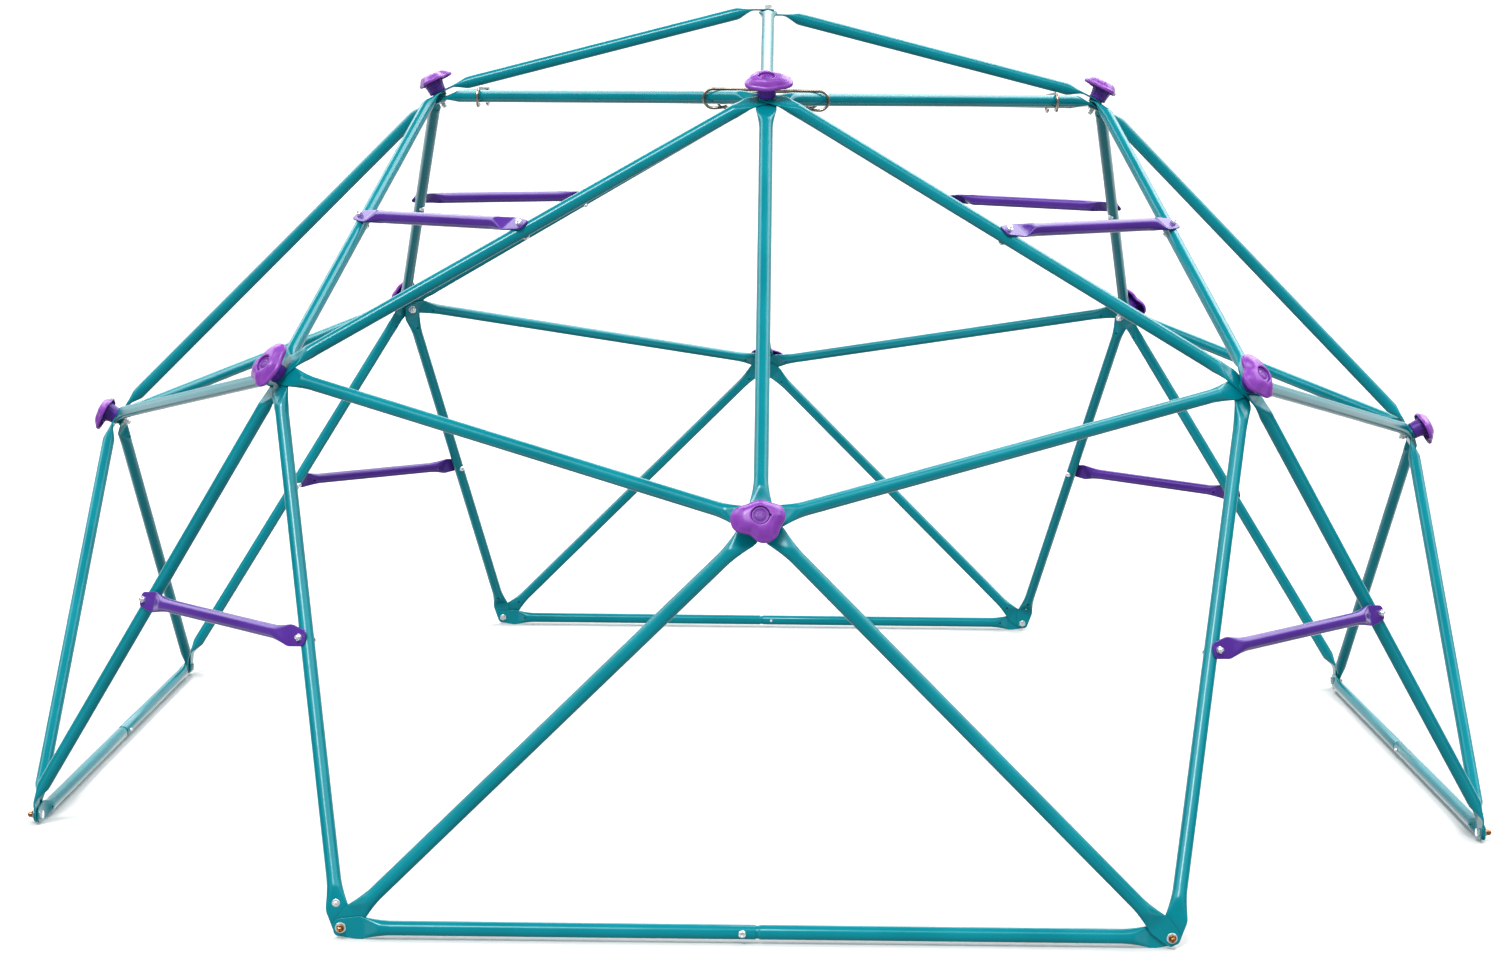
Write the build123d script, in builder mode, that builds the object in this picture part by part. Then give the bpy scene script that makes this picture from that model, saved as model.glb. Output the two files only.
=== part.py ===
from build123d import *
import math
import os

os.makedirs("parts", exist_ok=True)

# Dome climber: the upper half of a truncated octahedron in bolted steel tube. Millimetres, +Z up,
# origin on the ground under the apex. The front side faces -Y.

# driving dimensions of the dome
reach = 1220.0                     # centre of the dome to a ground bar
foot_rise = 17.0                   # ground to a foot bolt
apex_rise = 1.13 * reach           # foot bolts to where the four apex bars' axes meet
ring_out, ring_rise = reach / 2, reach
side_out, side_rise = reach, reach / 2
corner_out = 0.634 * reach * math.sqrt(2)
corner_rise = 0.632 * reach
foot_side = reach / 2              # middle of a side to its foot bolts

# tube and its flattened ends
tube_d = 22.0
wall = 1.2
tab_wide = 34.0
tab_thick = 3.0
tab_end = 11.0                     # bolt to the tab's rounded end
tab_nose = 12.0                    # half width across that end
nose_round = 9.0                   # radius of the tab's corners
tab_shoulder = 24.0                # bolt to where the tab reaches full width
bend_out = 30.0                    # bolt to the bend
neck_long = 44.0                   # flat to round
neck_slow = 0.3                    # share of the neck that swells slowly, clear of its neighbours
slow_side, slow_half = 16.2, 2.5   # half width and half thickness there
tab_inset = 12.0                   # hub stack's middle, inside the point where the tube axes meet
apex_inset = 9.0                   # the same for the apex
vent_d = 4.0
vent_place = 0.5                   # share of the neck from the bend to its drain hole
hollow_side, hollow_half = 13.8, 1.1   # the hollow starts at the slow part's end, this half size
fold_lap = 1.0                     # how far tab and neck run into each other at the bend

# fasteners, as diameter, head or nut across flats, height
bolt_d, bolt_hole = 8.0, 8.6
nut_flats, nut_tall = 13.0, 6.5
head_tall = 5.3
washer_d, washer_thick = 16.0, 1.6
small_bolt_d, small_hole = 6.0, 6.5
small_nut_flats, small_nut_tall = 10.0, 5.0
small_head_d, small_head_tall = 11.5, 3.6
thread_out = 4.0                   # thread showing past a nut
dome_flats, dome_r = 10.5, 4.6     # closed nut: hexagon and round cap
dome_hex_tall, dome_tall = 3.2, 10.5
dome_wall = 0.6
foot_thread_d, foot_thread_long = 8.0, 5.9    # thread inside the closed nut
screw_d, screw_head_d, screw_head_tall = 4.2, 12.0, 2.6
screw_play = 0.4                   # screw's shank under its hole
screw_long, screw_lift = 11.0, 4.6  # under its head; head above the leg's middle plane
screw_past = 7.0                   # bend to the screw
head_round = 0.55                  # edge radius of a round head, as a share of its height
head_gap = 0.1                     # under the head of a ground bar's screw

# hub cap
cap_stem_low_r, cap_stem_top_r = 15.5, 21.0
cap_stem_tall, cap_disc_tall = 17.0, 19.0
cap_base_r = 26.5                  # lobed disc: radius between the lobes
cap_lobes = ((188, 17, 40), (290, 12, 41), (12, 9.5, 34))   # direction, extra radius, spread in degrees
cap_edge_round = 6.0
cap_recess_r, cap_well_r = 13.5, 11.0
cap_floor = 10.0                   # thickness under the bolt head
plug_thick, plug_sunk = 5.0, 3.0
plug_play, plug_edge_round = 0.1, 1.2

# ground bar joint
spigot_long = 70.0
joint_gap = 0.1                    # radial play of the spigot in its sleeve
joint_screw_in = 20.0              # sleeve's mouth to its cross screw
shoulder_gap = 6.0                 # sleeve's mouth to the other tube's shoulder
joint_screw_past = 3.0             # its tip past the far side of the tube

# wire hanger
wire_d = 5.0
hanger_in = 84.5                   # ring hub's axis point to the wire, towards the centre
loop_r = 15.8
loop_out = 88.0                    # middle of the wire to the centre of each end loop
tip_out, tip_lift = 66.0, 3.5      # each hook's tip: out from the middle, and up from its lowest point
wire_play = 0.1                    # over the tube

sides = ("front", "right", "back", "left")
corners = ("front_right", "back_right", "back_left", "front_left")

# Each hub's stack of tabs, counted from the inside. Left and right are as seen from outside.
ring_stack = ("ring_right", "ring_left", "strut", "spoke_left", "spoke_right", "apex")
side_stack = ("leg_left", "waist_left", "strut", "waist_right", "leg_right")
corner_stack = ("leg_left", "waist_left", "spoke_left", "leg_right", "waist_right", "spoke_right")
left_foot_stack = ("corner_leg", "side_leg", "ground")
right_foot_stack = ("ground", "corner_leg", "side_leg")
apex_stack = ("right", "front", "back", "left")


def hub(out, rise, turn):
    # bolt plane of a hub: its normal points away from the middle of the ground
    node = Vector(0, -out, rise).rotate(Axis.Z, turn)
    sideways = Vector(1, 0, 0).rotate(Axis.Z, turn)
    lifted = node - node.normalized() * tab_inset + Vector(0, 0, foot_rise)
    return Plane(origin=lifted, x_dir=sideways, z_dir=node)


def foot(hand, turn):
    # bolt plane of a foot: upright, facing out; hand is -1 for the left foot of a side, 1 for the right
    spot = Vector(hand * foot_side, -reach, foot_rise).rotate(Axis.Z, turn)
    sideways = Vector(1, 0, 0).rotate(Axis.Z, turn)
    outward = Vector(0, -1, 0).rotate(Axis.Z, turn)
    return Plane(origin=spot, x_dir=sideways, z_dir=outward)


def ring_hub(turn):
    return hub(ring_out, ring_rise, turn)


def side_hub(turn):
    return hub(side_out, side_rise, turn)


def corner_hub(turn):
    return hub(corner_out, corner_rise, turn + 45)


def apex_hub():
    return Plane(origin=(0, 0, apex_rise + foot_rise - apex_inset), x_dir=(1, 0, 0), z_dir=(0, 0, 1))


def tab_in(plane, stack, name):
    # middle plane of one tab in a stack
    return plane.offset((stack.index(name) - (len(stack) - 1) / 2) * tab_thick)


def face_of(plane, stack, outer=True):
    # outer or inner face of a whole stack
    half = len(stack) * tab_thick / 2
    return plane.offset(half) if outer else plane.offset(-half)


def bends(tab_a, tab_b):
    # bend point of each end: along the tab's own plane, towards the other bend
    bend_a, bend_b = tab_a.origin, tab_b.origin
    for _ in range(4):
        towards_b = bend_b - tab_a.origin
        towards_a = bend_a - tab_b.origin
        flat_a = towards_b - tab_a.z_dir * towards_b.dot(tab_a.z_dir)
        flat_b = towards_a - tab_b.z_dir * towards_a.dot(tab_b.z_dir)
        bend_a = tab_a.origin + flat_a.normalized() * bend_out
        bend_b = tab_b.origin + flat_b.normalized() * bend_out
    return bend_a, bend_b


def middle(tab_a, tab_b):
    bend_a, bend_b = bends(tab_a, tab_b)
    return (bend_a + bend_b) * 0.5


def axis_of(tab_a, tab_b):
    bend_a, bend_b = bends(tab_a, tab_b)
    return (bend_b - bend_a).normalized()


def bar(tab_a, tab_b, hole_d=bolt_hole, ends="ab", cut_at=None, spigot=False, cross_holes=()):
    # Tube with flattened, bent, drilled ends. With one end only, it stops square at cut_at, from bend a
    # for end a and from bend b for end b. cross_holes are (plane, diameter) through the tube.
    bend_a, bend_b = bends(tab_a, tab_b)
    along = (bend_b - bend_a).normalized()
    neck_o = tab_thick / 2
    inner_r = tube_d / 2 - wall
    starts = {"a": (tab_a, bend_a, along), "b": (tab_b, bend_b, along * -1)}
    clear = (bend_b - bend_a).length - 2 * neck_long
    straight = clear if cut_at is None else cut_at - neck_long
    with BuildPart() as tube:
        for end in ends:
            tab, bend, inward = starts[end]
            flat = Plane(origin=tab.origin, x_dir=bend - tab.origin, z_dir=tab.z_dir)
            neck = Plane(origin=bend, x_dir=inward.cross(tab.z_dir), z_dir=inward)
            with BuildSketch(flat.offset(-neck_o)):
                with BuildLine():
                    Polyline(
                        (-tab_end, -tab_nose),
                        (-tab_end, tab_nose),
                        (tab_shoulder, tab_wide / 2),
                        (bend_out + fold_lap, tab_wide / 2),
                        (bend_out + fold_lap, -tab_wide / 2),
                        (tab_shoulder, -tab_wide / 2),
                        close=True,
                    )
                outline = make_face()
                fillet(outline.vertices().sort_by(Axis.X)[:2], radius=nose_round)
                Circle(hole_d / 2, mode=Mode.SUBTRACT)
            extrude(amount=tab_thick)
            with BuildSketch(neck):
                Ellipse(tab_wide / 2, neck_o)
            with BuildSketch(neck.offset(neck_long * neck_slow)):
                Ellipse(slow_side, slow_half)
            loft()
            with BuildSketch(neck.offset(neck_long * neck_slow)):
                Ellipse(slow_side, slow_half)
            with BuildSketch(neck.offset(neck_long)):
                Circle(tube_d / 2)
            loft()
        round_start = Plane(origin=bend_a + along * neck_long, z_dir=along)
        if ends == "b":
            round_start = Plane(origin=bend_b - along * neck_long, z_dir=along * -1)
        with BuildSketch(round_start):
            Circle(tube_d / 2)
        extrude(amount=straight)
        if spigot:
            with BuildSketch(round_start.offset(straight)):
                Circle(inner_r - joint_gap)
            extrude(amount=spigot_long)
        # the hollow: a thinner copy of the necks and the tube
        for end in ends:
            tab, bend, inward = starts[end]
            neck = Plane(origin=bend, x_dir=inward.cross(tab.z_dir), z_dir=inward)
            with BuildSketch(neck.offset(neck_long * neck_slow)):
                Ellipse(hollow_side, hollow_half)
            with BuildSketch(neck.offset(neck_long)):
                Circle(inner_r)
            loft(mode=Mode.SUBTRACT)
            with BuildSketch(Plane(origin=bend + inward * neck_long * vent_place, z_dir=tab.z_dir * -1)):
                Circle(vent_d / 2)
            extrude(amount=tube_d, mode=Mode.SUBTRACT)
        with BuildSketch(round_start):
            Circle(inner_r)
        if spigot:
            extrude(amount=straight - wall, mode=Mode.SUBTRACT)
            with BuildSketch(round_start.offset(straight - 2 * wall)):
                Circle(inner_r - joint_gap - wall)
            extrude(amount=spigot_long + 2 * wall, mode=Mode.SUBTRACT)
        else:
            extrude(amount=straight, mode=Mode.SUBTRACT)
        for plane, cross_d in cross_holes:
            with BuildSketch(plane):
                Circle(cross_d / 2)
            extrude(amount=tube_d, both=True, mode=Mode.SUBTRACT)
    return tube.part


def save(label, *solids):
    # one node: its separate solids, written side by side
    with BuildPart() as piece:
        add(solids)
    piece.part.label = label
    export_step(piece.part, f"parts/{label}.step")


def bolt_down(plane, head_r, head_high, shank_d, shank_long, sides_of_head=6):
    # bolt with its head on the plane and its shank along the plane's back
    with BuildPart() as bolt:
        with BuildSketch(plane):
            if sides_of_head:
                RegularPolygon(head_r, sides_of_head, major_radius=False)
            else:
                Circle(head_r)
        extrude(amount=head_high)
        if not sides_of_head:
            top = bolt.faces().sort_by(Axis(plane.origin, plane.z_dir))[-1]
            fillet(top.edges(), radius=head_high * head_round)
        with BuildSketch(plane):
            Circle(shank_d / 2)
        extrude(amount=-shank_long)
    return bolt.part


def nut_on(plane, flats, tall, hole_d):
    with BuildPart() as nut:
        with BuildSketch(plane):
            RegularPolygon(flats / 2, 6, major_radius=False)
            Circle(hole_d / 2, mode=Mode.SUBTRACT)
        extrude(amount=tall)
    return nut.part


def washer_on(plane):
    with BuildPart() as washer:
        with BuildSketch(plane):
            Circle(washer_d / 2)
            Circle(bolt_hole / 2, mode=Mode.SUBTRACT)
        extrude(amount=washer_thick)
    return washer.part


def dome_nut_on(plane):
    # closed nut: low hexagon with a round cap over the thread
    with BuildPart() as nut:
        with BuildSketch(plane):
            RegularPolygon(dome_flats / 2, 6, major_radius=False)
        extrude(amount=dome_hex_tall)
        with BuildSketch(plane):
            Circle(dome_r)
        extrude(amount=dome_tall)
        top = nut.faces().sort_by(Axis(plane.origin, plane.z_dir))[-1]
        fillet(top.edges(), radius=dome_r - dome_wall)
        with BuildSketch(plane):
            Circle(foot_thread_d / 2)
        extrude(amount=dome_tall - dome_r, mode=Mode.SUBTRACT)
    return nut.part


def cap_radius(angle):
    # three unequal rounded lobes on a round base
    extra = 0.0
    for centre, tall, spread in cap_lobes:
        away = (angle - centre + 180) % 360 - 180
        extra += tall * math.exp(-((abs(away) / spread) ** 3))
    return cap_base_r + extra


def hub_cap(seat, turn):
    # lobed disc on a tapered stem, with a stepped well for the bolt head and the plug
    across = seat.x_dir.rotate(Axis(seat.origin, seat.z_dir), turn)
    level = Plane(origin=seat.origin, x_dir=across, z_dir=seat.z_dir)
    step = 15
    rim = [
        (cap_radius(a) * math.cos(math.radians(a)), cap_radius(a) * math.sin(math.radians(a)))
        for a in range(0, 360, step)
    ]
    cap_tall = cap_stem_tall + cap_disc_tall
    plug_low = cap_tall - plug_sunk - plug_thick
    with BuildPart() as cap:
        with BuildSketch(level.offset(cap_stem_tall)):
            with BuildLine():
                Spline(*rim, periodic=True)
            make_face()
        extrude(amount=cap_disc_tall)
        disc_ends = cap.faces().sort_by(Axis(level.origin, level.z_dir))
        fillet(disc_ends[-1].edges() + disc_ends[0].edges(), radius=cap_edge_round)
        with BuildSketch(level):
            Circle(cap_stem_low_r)
        with BuildSketch(level.offset(cap_stem_tall + 1)):
            Circle(cap_stem_top_r)
        loft()
        with BuildSketch(level.offset(plug_low)):
            Circle(cap_recess_r)
        extrude(amount=plug_thick + plug_sunk, mode=Mode.SUBTRACT)
        with BuildSketch(level.offset(cap_floor)):
            Circle(cap_well_r)
        extrude(amount=cap_tall, mode=Mode.SUBTRACT)
        with BuildSketch(level):
            Circle(bolt_hole / 2)
        extrude(amount=cap_tall, mode=Mode.SUBTRACT)
    return cap.part


def cap_plug(seat):
    low = seat.offset(cap_stem_tall + cap_disc_tall - plug_sunk - plug_thick)
    with BuildPart() as plug:
        with BuildSketch(low):
            Circle(cap_recess_r - plug_play)
        extrude(amount=plug_thick)
        top = plug.faces().sort_by(Axis(low.origin, low.z_dir))[-1]
        fillet(top.edges(), radius=plug_edge_round)
    return plug.part


def wire_hanger(turn):
    # lies on the two ring bars that leave this hub and hooks round the outside of each
    here, right, left = ring_hub(turn), ring_hub(turn + 90), ring_hub(turn - 90)
    outward = Vector(0, -1, 0).rotate(Axis.Z, turn)
    inside = ring_out - hanger_in
    rests = []
    for own, far_hub, far in (("ring_left", left, "ring_right"), ("ring_right", right, "ring_left")):
        near_tab, far_tab = tab_in(here, ring_stack, own), tab_in(far_hub, ring_stack, far)
        start, along = bends(near_tab, far_tab)[0], axis_of(near_tab, far_tab)
        rests.append(start + along * ((inside - start.dot(outward)) / along.dot(outward)))
    level = Plane(origin=(rests[0] + rests[1]) * 0.5, x_dir=rests[1] - rests[0], z_dir=outward)
    over = tube_d / 2 + wire_d / 2 + wire_play
    under = over - 2 * loop_r
    tip_run = loop_out - tip_out
    hook_r = (tip_run**2 + tip_lift**2) / (2 * tip_lift)    # leaves the loop tangent to it
    half = math.asin(tip_run / hook_r) / 2
    with BuildPart() as hanger:
        with BuildLine(level) as route:
            for hand in (-1, 1):
                low = (hand * loop_out, under)
                ThreePointArc((hand * loop_out, over), (hand * (loop_out + loop_r), over - loop_r), low)
                mid_out = loop_out - hook_r * math.sin(half)
                mid_up = under + hook_r * (1 - math.cos(half))
                ThreePointArc(low, (hand * mid_out, mid_up), (hand * tip_out, under + tip_lift))
            Line((-loop_out, over), (loop_out, over))
        wire = route.wires()[0]
        with BuildSketch(Plane(origin=wire @ 0, z_dir=wire % 0)):
            Circle(wire_d / 2)
        sweep(path=wire)
    return hanger.part


# The frame, one quarter at a time.
cap_turns = {"ring": 180, "side": 0, "corner": 262}    # about each hub bolt, from the hub's level direction
hub_caps = {"ring": [], "side": [], "corner": []}
plugs, hub_bolts, washers, nuts = [], [], [], []
foot_bolts, foot_washers, foot_nuts = [], [], []
rung_bolts, rung_nuts, joint_screws, foot_screws, hangers = [], [], [], [], []
apex = apex_hub()


def rung_seat(bar_ends, other_ends):
    # where a rung's tab lies on the outer side of a bar, square to both bars
    across = axis_of(*bar_ends).cross(axis_of(*other_ends)).normalized()
    spot = middle(*bar_ends)
    outward = across if across.dot(spot) > 0 else across * -1
    return Plane(origin=spot + outward * (tube_d + tab_thick) / 2, x_dir=axis_of(*bar_ends), z_dir=outward)


def rung_and_bars(corner_pair, rung_label, bars_label, extra_holes):
    # two bars that spread from a corner hub, and the rung bolted across their middles
    left_ends, right_ends = corner_pair
    seats = rung_seat(left_ends, right_ends), rung_seat(right_ends, left_ends)
    solids = []
    for ends, seat, holes in zip(corner_pair, seats, extra_holes):
        bolt_line = seat.offset(-(tube_d + tab_thick) / 2)
        solids.append(bar(*ends, cross_holes=((bolt_line, small_hole), *holes)))
        nut_face = seat.offset(tab_thick / 2)
        rung_nuts.append(nut_on(nut_face, small_nut_flats, small_nut_tall, small_bolt_d))
        inner_face = seat.offset(-tube_d - tab_thick / 2)
        head = Plane(origin=inner_face.origin, x_dir=inner_face.x_dir, z_dir=inner_face.z_dir * -1)
        shank = tube_d + tab_thick + small_nut_tall + thread_out
        rung_bolts.append(bolt_down(head, small_head_d / 2, small_head_tall, small_bolt_d, shank, 0))
    save(bars_label, *solids)
    save(rung_label, bar(*seats, hole_d=small_hole))


for quarter in range(4):
    turn = 90 * quarter
    side, corner, last_corner = sides[quarter], corners[quarter], corners[quarter - 1]
    ring, next_ring = ring_hub(turn), ring_hub(turn + 90)
    mid, next_mid = side_hub(turn), side_hub(turn + 90)
    right_corner, left_corner = corner_hub(turn), corner_hub(turn - 90)
    left_foot, right_foot, next_foot = foot(-1, turn), foot(1, turn), foot(-1, turn + 90)

    save(f"apex_bar_{side}", bar(tab_in(apex, apex_stack, side), tab_in(ring, ring_stack, "apex")))
    ring_ends = tab_in(ring, ring_stack, "ring_right"), tab_in(next_ring, ring_stack, "ring_left")
    save(f"ring_bar_{corner}", bar(*ring_ends))
    save(f"strut_{side}", bar(tab_in(ring, ring_stack, "strut"), tab_in(mid, side_stack, "strut")))
    save(
        f"waist_bars_{side}",
        bar(tab_in(mid, side_stack, "waist_left"), tab_in(left_corner, corner_stack, "waist_right")),
        bar(tab_in(mid, side_stack, "waist_right"), tab_in(right_corner, corner_stack, "waist_left")),
    )
    save(
        f"side_legs_{side}",
        bar(tab_in(mid, side_stack, "leg_left"), tab_in(left_foot, left_foot_stack, "side_leg")),
        bar(tab_in(mid, side_stack, "leg_right"), tab_in(right_foot, right_foot_stack, "side_leg")),
    )

    # spokes above the corner hub and their rung
    spokes = (
        (tab_in(right_corner, corner_stack, "spoke_left"), tab_in(ring, ring_stack, "spoke_right")),
        (tab_in(right_corner, corner_stack, "spoke_right"), tab_in(next_ring, ring_stack, "spoke_left")),
    )
    rung_and_bars(spokes, f"upper_rung_{corner}", f"spokes_{corner}", ((), ()))

    # legs below it and their rung; the right one carries a small screw just above its foot
    legs = (
        (tab_in(right_corner, corner_stack, "leg_left"), tab_in(right_foot, right_foot_stack, "corner_leg")),
        (tab_in(right_corner, corner_stack, "leg_right"), tab_in(next_foot, left_foot_stack, "corner_leg")),
    )
    leg_bends, leg_axis = bends(*legs[1]), axis_of(*legs[1])
    screw_spot = leg_bends[1] - leg_axis * screw_past
    screw_out = (next_foot.z_dir - leg_axis * leg_axis.dot(next_foot.z_dir)).normalized()
    screw_line = Plane(origin=screw_spot, x_dir=leg_axis, z_dir=screw_out)
    rung_and_bars(legs, f"lower_rung_{corner}", f"corner_legs_{corner}", ((), ((screw_line, screw_d),)))
    screw_seat = screw_line.offset(screw_lift)
    screw_shank = screw_d - screw_play
    foot_screws.append(bolt_down(screw_seat, screw_head_d / 2, screw_head_tall, screw_shank, screw_long, 0))

    # ground bar: the left half is the sleeve, the right half is swaged into it
    ground = tab_in(left_foot, left_foot_stack, "ground"), tab_in(right_foot, right_foot_stack, "ground")
    ground_bends, ground_axis = bends(*ground), axis_of(*ground)
    half = (ground_bends[1] - ground_bends[0]).length / 2
    mouth = middle(*ground)
    joint_line = Plane(origin=mouth - ground_axis * joint_screw_in, x_dir=ground_axis, z_dir=left_foot.z_dir)
    joint_hole = ((joint_line, small_hole),)
    save(f"ground_sleeve_{side}", bar(*ground, ends="a", cut_at=half, cross_holes=joint_hole))
    save(
        f"ground_insert_{side}",
        bar(*ground, ends="b", cut_at=half - shoulder_gap, spigot=True, cross_holes=joint_hole),
    )
    joint_seat = joint_line.offset(tube_d / 2 + head_gap)
    joint_long = tube_d + joint_screw_past
    joint_screws.append(
        bolt_down(joint_seat, small_head_d / 2, small_head_tall, small_bolt_d, joint_long, 0)
    )

    # feet
    for plane, stack in ((left_foot, left_foot_stack), (right_foot, right_foot_stack)):
        outer, inner = face_of(plane, stack), face_of(plane, stack, outer=False)
        head = Plane(origin=inner.origin, x_dir=inner.x_dir, z_dir=inner.z_dir * -1)
        shank = len(stack) * tab_thick + washer_thick + foot_thread_long
        foot_bolts.append(bolt_down(head, nut_flats / 2, head_tall, foot_thread_d, shank))
        foot_washers.append(washer_on(outer))
        foot_nuts.append(dome_nut_on(outer.offset(washer_thick)))

    # hubs: cap, plug and bolt from outside, washer and nut inside
    for kind, plane, stack in (
        ("ring", ring, ring_stack),
        ("side", mid, side_stack),
        ("corner", right_corner, corner_stack),
    ):
        outer, inner = face_of(plane, stack), face_of(plane, stack, outer=False)
        behind = Plane(origin=inner.origin, x_dir=inner.x_dir, z_dir=inner.z_dir * -1)
        hub_caps[kind].append(hub_cap(outer, cap_turns[kind]))
        plugs.append(cap_plug(outer))
        reach_in = cap_floor + len(stack) * tab_thick + washer_thick + nut_tall + thread_out
        hub_bolts.append(bolt_down(outer.offset(cap_floor), nut_flats / 2, head_tall, bolt_d, reach_in))
        washers.append(washer_on(behind))
        nuts.append(nut_on(behind.offset(washer_thick), nut_flats, nut_tall, bolt_d))

    hangers.append(wire_hanger(turn))

# apex: the bolt comes up from inside and its nut is on top
apex_top, apex_low = face_of(apex, apex_stack), face_of(apex, apex_stack, outer=False)
apex_head = Plane(origin=apex_low.origin, x_dir=apex_low.x_dir, z_dir=apex_low.z_dir * -1)
apex_shank = len(apex_stack) * tab_thick + washer_thick + nut_tall + thread_out
save("apex_bolt", bolt_down(apex_head, nut_flats / 2, head_tall, bolt_d, apex_shank))
washers.append(washer_on(apex_top))
nuts.append(nut_on(apex_top.offset(washer_thick), nut_flats, nut_tall, bolt_d))

for kind, caps in hub_caps.items():
    save(f"{kind}_hub_caps", *caps)
save("cap_plugs", *plugs)
save("hub_bolts", *hub_bolts)
save("hub_washers", *washers)
save("hub_nuts", *nuts)
save("foot_bolts", *foot_bolts)
save("foot_washers", *foot_washers)
save("foot_nuts", *foot_nuts)
save("rung_bolts", *rung_bolts)
save("rung_nuts", *rung_nuts)
save("joint_screws", *joint_screws)
save("foot_screws", *foot_screws)
save("wire_hangers", *hangers)
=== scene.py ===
import math

import bmesh
import bpy
from mathutils import Matrix, Vector


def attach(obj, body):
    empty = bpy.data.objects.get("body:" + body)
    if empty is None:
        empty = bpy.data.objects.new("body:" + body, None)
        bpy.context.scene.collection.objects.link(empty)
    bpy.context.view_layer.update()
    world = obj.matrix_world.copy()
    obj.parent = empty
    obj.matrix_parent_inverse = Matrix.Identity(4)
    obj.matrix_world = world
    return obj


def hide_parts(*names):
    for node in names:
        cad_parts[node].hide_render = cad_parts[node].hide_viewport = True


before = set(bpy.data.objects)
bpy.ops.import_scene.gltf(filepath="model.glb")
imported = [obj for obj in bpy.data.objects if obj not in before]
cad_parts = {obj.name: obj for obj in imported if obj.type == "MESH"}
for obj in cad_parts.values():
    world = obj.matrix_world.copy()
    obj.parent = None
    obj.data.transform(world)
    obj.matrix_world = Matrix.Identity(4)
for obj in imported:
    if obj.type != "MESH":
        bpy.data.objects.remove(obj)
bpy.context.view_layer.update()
mm = 0.001

# The dome's driving sizes, in metres, the same as the steel frame's own. Z is up, the front faces -Y,
# and the origin is on the ground under the apex.
reach = 1220 * mm                # centre of the dome to a ground bar
footRise = 17 * mm               # ground to a foot bolt
apexRise = 1.13 * reach
ringOut, ringRise = reach / 2, reach
sideOut, sideRise = reach, reach / 2
cornerOut, cornerRise = 0.634 * reach * math.sqrt(2), 0.632 * reach
footSide = reach / 2

# Tabs at each joint, counted from the inside. Left and right are as seen from outside.
ringStack = ("ringRight", "ringLeft", "strut", "spokeLeft", "spokeRight", "apex")
sideStack = ("legLeft", "waistLeft", "strut", "waistRight", "legRight")
cornerStack = ("legLeft", "waistLeft", "spokeLeft", "legRight", "waistRight", "spokeRight")
leftFootStack = ("cornerLeg", "sideLeg", "ground")
rightFootStack = ("ground", "cornerLeg", "sideLeg")
apexStack = ("right", "front", "back", "left")

sides = ("front", "right", "back", "left")
corners = ("front_right", "back_right", "back_left", "front_left")

tube = dict(
    radius=11 * mm,
    wall=1.2 * mm,
    tabWide=34 * mm,
    tabThick=3 * mm,
    tabEnd=11 * mm,              # bolt to the tab's end
    tabNose=12 * mm,             # half width across that end
    tabShoulder=24 * mm,         # bolt to full width
    noseRound=9 * mm,
    bendOut=30 * mm,             # bolt to the bend
    bendRound=7 * mm,            # how far the bend spreads each way
    neckLong=44 * mm,            # flat to round
    swellLong=31 * mm,           # flat to full thickness
    swellEarly=4 * mm,           # thickening starts this far before the bend
    narrowing=1.6,               # above 1, a neck loses most of its width near the bend
    squareness=7.0,              # of a tab's section; 2 is an oval and more is squarer
    groove=0.7 * mm,             # dent that the flattening dies leave down the middle of a neck
    grooveSpread=4.5 * mm,
    inset=12 * mm,               # a hub's stack lies this far inside the point where the tubes aim
    apexInset=9 * mm,
    vent=2 * mm,                 # radius of the drain hole in each neck
    ventDepth=9 * mm,            # its drill's middle, inwards from the tube's own
    boltHole=4.3 * mm,
    smallHole=3.25 * mm,
    tabDrill=12 * mm,            # how long the drills are
    barDrill=40 * mm,
    around=32,                   # points round a tube
    tabRings=(1.4, 2.2, 3.2, 4.4, 5.8, 7.5, 9.5, 12, 15, 19, 23, 27, 30),    # mm from a tab's end
    foldRings=8,
    neckRings=21,
)


def planeAt(origin, sideways, normal):
    z = normal.normalized()
    x = (sideways - z * sideways.dot(z)).normalized()
    made = Matrix((x, z.cross(x), z)).transposed().to_4x4()
    made.translation = origin
    return made


def turned(thing, degrees):
    return Matrix.Rotation(math.radians(degrees), 4, "Z") @ thing


def lifted(plane, distance):
    return Matrix.Translation(plane.col[2].xyz * distance) @ plane


def flipped(plane):
    return plane @ Matrix.Rotation(math.pi, 4, "X")


def hubPlane(out, rise, turn):
    node = Vector((0, -out, rise))
    spot = node - node.normalized() * tube["inset"] + Vector((0, 0, footRise))
    return turned(planeAt(spot, Vector((1, 0, 0)), node), turn)


def footPlane(hand, turn):       # hand is -1 for a side's left foot and 1 for its right
    spot = Vector((hand * footSide, -reach, footRise))
    return turned(planeAt(spot, Vector((1, 0, 0)), Vector((0, -1, 0))), turn)


def ringHub(turn):
    return hubPlane(ringOut, ringRise, turn)


def sideHub(turn):
    return hubPlane(sideOut, sideRise, turn)


def cornerHub(turn):
    return hubPlane(cornerOut, cornerRise, turn + 45)


apexSpot = Vector((0, 0, apexRise + footRise - tube["apexInset"]))
apexPlane = planeAt(apexSpot, Vector((1, 0, 0)), Vector((0, 0, 1)))


def tabIn(plane, stack, name):   # middle plane of one tab
    return lifted(plane, (stack.index(name) - (len(stack) - 1) / 2) * tube["tabThick"])


def stackHalf(stack):
    return len(stack) * tube["tabThick"] / 2


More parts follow.
